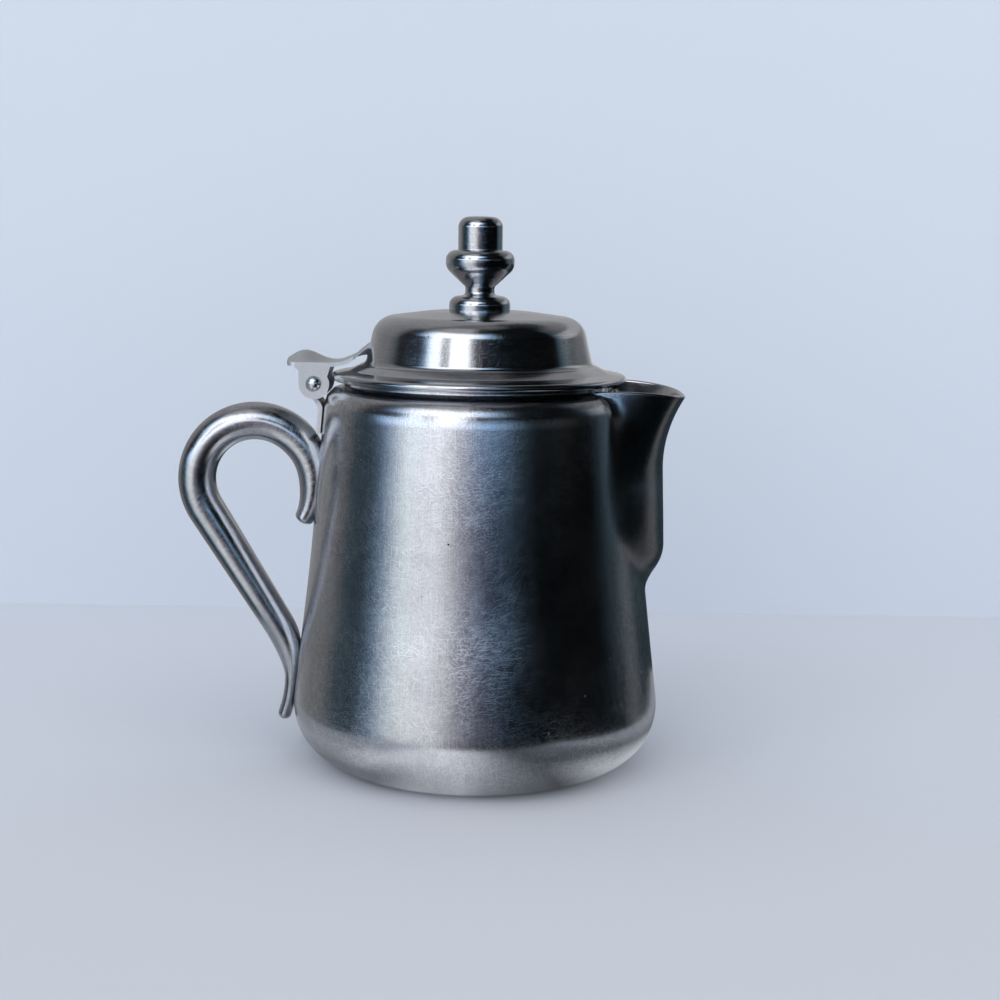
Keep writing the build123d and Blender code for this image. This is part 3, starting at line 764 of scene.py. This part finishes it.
def skinned(name, centres, firsts, seconds, steps_round, wrap_width, material):
    """Plain mesh piece skinned over oval sections, which are given by their centres and
    two half axes in millimetres."""
    line = bpy.data.meshes.new(name + "_line")
    line.from_pydata([tuple(centre) for centre in centres * mm], [], [])
    for attribute, values in (("first_axis", firsts), ("second_axis", seconds)):
        layer = line.attributes.new(attribute, "FLOAT_VECTOR", "POINT")
        layer.data.foreach_set("vector", (values * mm).astype(np.float32).ravel())
    along = lengths_along(centres + firsts) * mm
    line.attributes.new("along", "FLOAT", "POINT").data.foreach_set("value", along.astype(np.float32))
    holder = bpy.data.objects.new(name + "_holder", line)
    bpy.context.scene.collection.objects.link(holder)
    modifier = holder.modifiers.new("sections", "NODES")
    modifier.node_group = sections_tree
    settings = {"Steps Round": steps_round, "Wrap Width": wrap_width * mm, "Material": material}
    for item in sections_tree.interface.items_tree:
        if item.name in settings:
            modifier[item.identifier] = settings[item.name]
    graph = bpy.context.evaluated_depsgraph_get()
    mesh = bpy.data.meshes.new_from_object(
        holder.evaluated_get(graph), preserve_all_data_layers=True, depsgraph=graph
    )
    bpy.data.objects.remove(holder)
    mesh.name = name
    piece = bpy.data.objects.new(name, mesh)
    bpy.context.scene.collection.objects.link(piece)
    return piece


def spun(name, outline, steps_round, material):
    """Piece turned about the upright axis from an outline of distances from it and heights."""
    nothing = np.zeros(len(outline))
    centres = np.stack([nothing, nothing, outline[:, 1]], axis=1)
    firsts = np.stack([outline[:, 0], nothing, nothing], axis=1)
    seconds = np.stack([nothing, outline[:, 0], nothing], axis=1)
    wrap_width = 2 * math.pi * outline[:, 0].max()
    return skinned(name, centres, firsts, seconds, steps_round, wrap_width, material)


def held(outline, near=0.15):
    """The same outline with points added near both ends of each long straight run,
    which keep its smooth shading flat there."""
    points = [outline[0]]
    for start, end in zip(outline, outline[1:]):
        length = np.linalg.norm(end - start)
        if length > 4 * near:
            points.append(start + (end - start) * near / length)
            points.append(end - (end - start) * near / length)
        points.append(end)
    return np.array(points)


def make_lid(material):
    """Spun lid: domed crown, hollow-footed brim, and a rolled edge that runs on under the brim."""
    roll_points = 36
    top = rounded(lid_corners, lid_roundings, step=0.2)
    roll = []
    for angle in np.linspace(lid_roll_start, lid_roll_end, roll_points):
        roll.append((lid_roll_centre[0] + lid_roll_radius * math.cos(angle),
                     lid_roll_centre[1] + lid_roll_radius * math.sin(angle)))
    run = np.gradient(top, axis=0)
    run /= np.linalg.norm(run, axis=1, keepdims=True)
    under = (top + np.stack([run[:, 1], -run[:, 0]], axis=1) * lid_sheet)[::-1]
    under = under[(under[:, 0] > lid_hole_radius) & (under[:, 0] < roll[0][0])]
    crown_height = top[-1][1]
    hole = [(lid_hole_radius, crown_height), (lid_hole_radius, crown_height - lid_sheet)]
    top = top[top[:, 0] > lid_hole_radius]
    outline = np.array([hole[1], *under, *roll, *top[1:], *hole])
    piece = spun("lid_shell", held(outline), steps_round=256, material=material)
    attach(piece, "lid_set")
    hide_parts("lid")


def make_finial(material):
    """Turned knob, closed round the end of its screw hole."""
    outline = rounded(finial_corners, finial_roundings, step=0.15)
    outline[:, 1] += lid_corners[-1][1]
    piece = spun("finial_knob", held(outline, near=0.1), steps_round=144, material=material)
    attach(piece, "lid_set")
    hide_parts("finial")


def evened(values, reach=9):
    """The same row of values, each evened out over its neighbours on both sides."""
    spread = np.exp(-np.linspace(-2, 2, 2 * reach + 1) ** 2)
    spread /= spread.sum()
    return np.convolve(np.pad(values, reach, mode="edge"), spread, mode="valid")


def handle_sections():
    """Sections of the bar from its top end to its tail: places in side view, the heading of the
    bar there, and half sizes. The stem is the line that touches the arcs of grip and foot."""
    section_spacing = 0.4
    top_bend = top_end_length / math.sin(top_end_curl)
    grip_start = -wall_radius_at(grip_height) - grip_standoff
    foot_start = -wall_radius_at(foot_height) - foot_standoff
    across = (foot_start - foot_bend) - (grip_start - grip_radius)
    down = foot_height - grip_height
    both = grip_radius + foot_bend
    stem_length = math.sqrt(across**2 + down**2 - both**2)
    stem_heading = math.atan2(down, across) + math.atan2(both, stem_length)

    # Radius or length, turn, size at both ends, and the power by which the size changes
    stretches = (
        (top_bend, top_end_curl, tip_size, root_size, 1),
        (grip_radius, root_turn, root_size, grip_size, 1),
        (grip_radius, 3 * math.pi / 2 + stem_heading - root_turn, grip_size, grip_size, 1),
        (stem_length, 0, grip_size, stem_size, 1),
        (foot_bend, -math.pi / 2 - stem_heading, stem_size, foot_size, 2),
        (tail_bend, -tail_curl, foot_size, tail_size, 1),
    )
    place = np.array([grip_start - top_bend * (1 - math.cos(top_end_curl)), grip_height - top_end_length])
    facing = math.pi / 2 - top_end_curl
    places, facings, sizes = [place], [facing], [tip_size]
    for size, turn, start_size, end_size, ease in stretches:
        length = size * abs(turn) if turn else size
        count = math.ceil(length / section_spacing)
        for step in range(1, count + 1):
            middle = facing + turn * (step - 0.5) / count
            place = place + np.array([math.cos(middle), math.sin(middle)]) * length / count
            places.append(place)
            facings.append(facing + turn * step / count)
            share = (step / count) ** ease
            sizes.append(np.array(start_size) * (1 - share) + np.array(end_size) * share)
        facing += turn
    sizes = np.stack([evened(side) for side in np.array(sizes).T], axis=1)

    # Rounded ends, as quarter ovals beyond the first and last section
    cap_sections = 8
    rounds = np.linspace(math.pi / 2, 0, cap_sections + 1)[:-1]
    caps = []
    for end, way in ((0, -1), (-1, 1)):
        step = np.array([math.cos(facings[end]), math.sin(facings[end])]) * way * end_rounding
        cap = []
        for turn in rounds:
            cap.append((places[end] + step * math.sin(turn), facings[end], sizes[end] * math.cos(turn)))
        caps.append(cap)
    sections = caps[0] + list(zip(places, facings, sizes)) + caps[1][::-1]
    return [np.array([section[part] for section in sections]) for part in range(3)]


def make_handle(material):
    """Cast bar: a rolled-out top end, a round grip, a straight stem and a flat tail on the wall."""
    places, facings, sizes = handle_sections()
    nothing = np.zeros(len(places))
    centres = np.stack([places[:, 0], nothing, places[:, 1]], axis=1)
    outward = np.stack([np.sin(facings), nothing, -np.cos(facings)], axis=1)
    firsts = outward * sizes[:, :1]
    seconds = np.stack([nothing, sizes[:, 1], nothing], axis=1)
    steps_round = 72
    wrap_width = 2 * math.pi * grip_size[0]
    piece = skinned("handle_bar", centres, firsts, seconds, steps_round, wrap_width, material)

    # Inside the pot's wall the bar ends in the middle of the sheet
    for vertex in piece.data.vertices:
        x, y, z = (value / mm for value in vertex.co)
        reach = math.hypot(x, y)
        wall = wall_radius_at(z) - body_sheet / 2
        if reach < wall:
            vertex.co.x *= wall / reach
            vertex.co.y *= wall / reach
    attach(piece, "pot")
    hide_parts("handle")


def make_weld_beads(material):
    """Crinkled beads of weld metal where the spout's two top corners meet the shoulder."""
    crinkle_height = 0.22
    crinkle_rate = 2.3
    crinkle_start = (3.0, 5.0)
    # How fast the crinkle's layers weaken, how much finer each is than the last, and how many
    crinkle_layers = (0.6, 2.0, 4)
    for side, way in (("near", -1), ("far", 1)):
        mesh = bpy.data.meshes.new("weld_bead_" + side)
        shape = bmesh.new()
        bmesh.ops.create_icosphere(shape, subdivisions=5, radius=1.0)
        middle = Vector((bead_place[0], way * bead_place[1], bead_place[2]))
        for vertex in shape.verts:
            outward = vertex.co.copy()
            spot = outward * crinkle_rate + Vector((way, *crinkle_start))
            ripple = noise.fractal(spot, *crinkle_layers)
            point = Vector(part * half for part, half in zip(outward, bead_half_sizes))
            vertex.co = (point * (1 + crinkle_height * ripple) + middle) * mm
        shape.to_mesh(mesh)
        shape.free()
        mesh.materials.append(material)
        mesh.shade_smooth()
        piece = bpy.data.objects.new("weld_bead_" + side, mesh)
        bpy.context.scene.collection.objects.link(piece)
        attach(piece, "pot")


# Outlines that the functions above measure from: the whole body's, that of the body without
# its flat base, and the ridge of the spout's nose
base_edge_height = 0.01
body_line = rounded(body_corners, body_roundings)
wall_line = body_line[body_line[:, 1] > base_edge_height]
outline_heights = wall_line[:, 1]
outline_radii = wall_line[:, 0]
ridge_line = rounded(spout_ridge_corners, spout_ridge_roundings)
sections_tree = ringed_sections_tree()

bpy.context.scene.view_settings.view_transform = "Standard"
make_camera()
make_stage()
make_studio()

# Patterns of scratches: length and width in millimetres, and the level that the noise has to pass
fine_scratches = [(3, 0.13, 0.7)] * 6 + [(7, 0.14, 0.72)] * 3
long_scratches = [(14, 0.18, 0.75), (20, 0.2, 0.77), (26, 0.2, 0.77)]

# Drawn stainless sheet, brushed upright and washed for years: soft streaks under crossing scratches
pot_steel = steel(
    "worn_satin_stainless",
    tones=("A4A6AD", "C2C4C9", "EDEEF2"),
    roughness=(0.13, 0.19),
    brushing=(0.2, 9),
    scratches=fine_scratches + long_scratches,
    depths=(0.36, 0.4, -0.12),
)
# Spun and buffed stainless: close to a mirror, with water marks and faint rings from the lathe
lid_steel = steel(
    "buffed_stainless",
    tones=("AEB1B7", "C4C6CA", "D6D8DC"),
    roughness=(0.08, 0.13),
    brushing=(30, 0.3),
    scratches=fine_scratches[:3],
    depths=(0.12, 0.14, -0.12),
)
# Cast stainless bar, buffed along its length: long soft streaks and a few scratches
bar_steel = steel(
    "buffed_cast_stainless",
    tones=("A8ABB2", "C4C6CA", "DDDFE3"),
    roughness=(0.12, 0.2),
    brushing=(0.3, 7),
    scratches=fine_scratches[:5],
    depths=(0.3, 0.2, -0.25),
)
# Stainless strip as rolled, folded and riveted: pale, even and not polished
strip_steel = steel(
    "rolled_stainless_strip",
    tones=("DADCDF", "EAEBED", "F1F2F3"),
    roughness=(0.52, 0.6),
    brushing=(4, 0.2),
    scratches=fine_scratches[:3],
    depths=(0.2, 0.3, -0.2),
    surface_map=False,
)
# Turned stainless pin, screw, washer and ring, and weld metal: bright, with fine cutting marks
turned_steel = steel(
    "turned_stainless",
    tones=("B4B7BC", "C8CACE", "DADCDF"),
    roughness=(0.12, 0.18),
    brushing=(4, 0.16),
    scratches=fine_scratches[:2],
    depths=(0.15, 0.15, -0.1),
    surface_map=False,
)
make_pot(pot_steel)
make_weld_beads(turned_steel)
make_lid(lid_steel)
make_finial(lid_steel)
make_handle(bar_steel)

# The two sheets of the hinge are strip, and the rest that shows of the frame is turned
for name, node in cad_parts.items():
    node.data.materials.clear()
    node.data.materials.append(strip_steel if name in ("hinge_leaf", "hinge_strap") else turned_steel)
